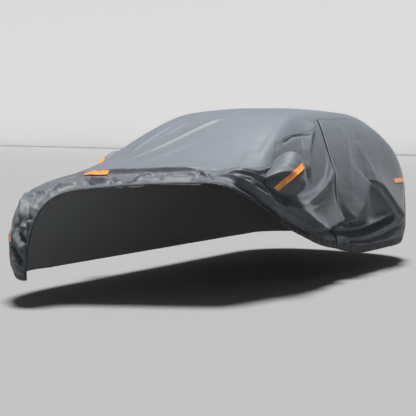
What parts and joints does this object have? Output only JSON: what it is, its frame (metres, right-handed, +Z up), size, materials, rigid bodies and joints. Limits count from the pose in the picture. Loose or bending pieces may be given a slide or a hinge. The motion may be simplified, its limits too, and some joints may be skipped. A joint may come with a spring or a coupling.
{
  "type": "car cover",
  "caption": "Fitted car cover of grey coated cloth, pulled back over its front deck on one side, with mirror pockets, a door zip and orange reflective strips.",
  "frame": {"origin": "hanging point on the underside of the top panel, in the middle of the roof", "axes": "+X to the cover's left side, where the door zip is; +Y from the nose to the tail; +Z up"},
  "size_m": [2.0307, 4.5012, 1.316],
  "materials": {
    "cloth": "satin",
    "reflective_tape": "satin",
    "zip": "matte",
    "piping": "matte"
  },
  "bodies": {
    "root": {"top_panel": "cloth", "front_band": "cloth", "left_front_panel": "cloth", "left_rear_panel": "cloth", "tail_panel": "cloth", "right_panel": "cloth", "left_pocket": "cloth", "right_pocket": "cloth", "door_zip": "zip", "zip_slider": "zip", "zip_piping": "piping", "strip_front": "reflective_tape", "strip_corner": "reflective_tape", "strip_tail": "reflective_tape", "strip_left_pocket": "reflective_tape", "strip_right_pocket": "reflective_tape"}
  },
  "joints": []
}
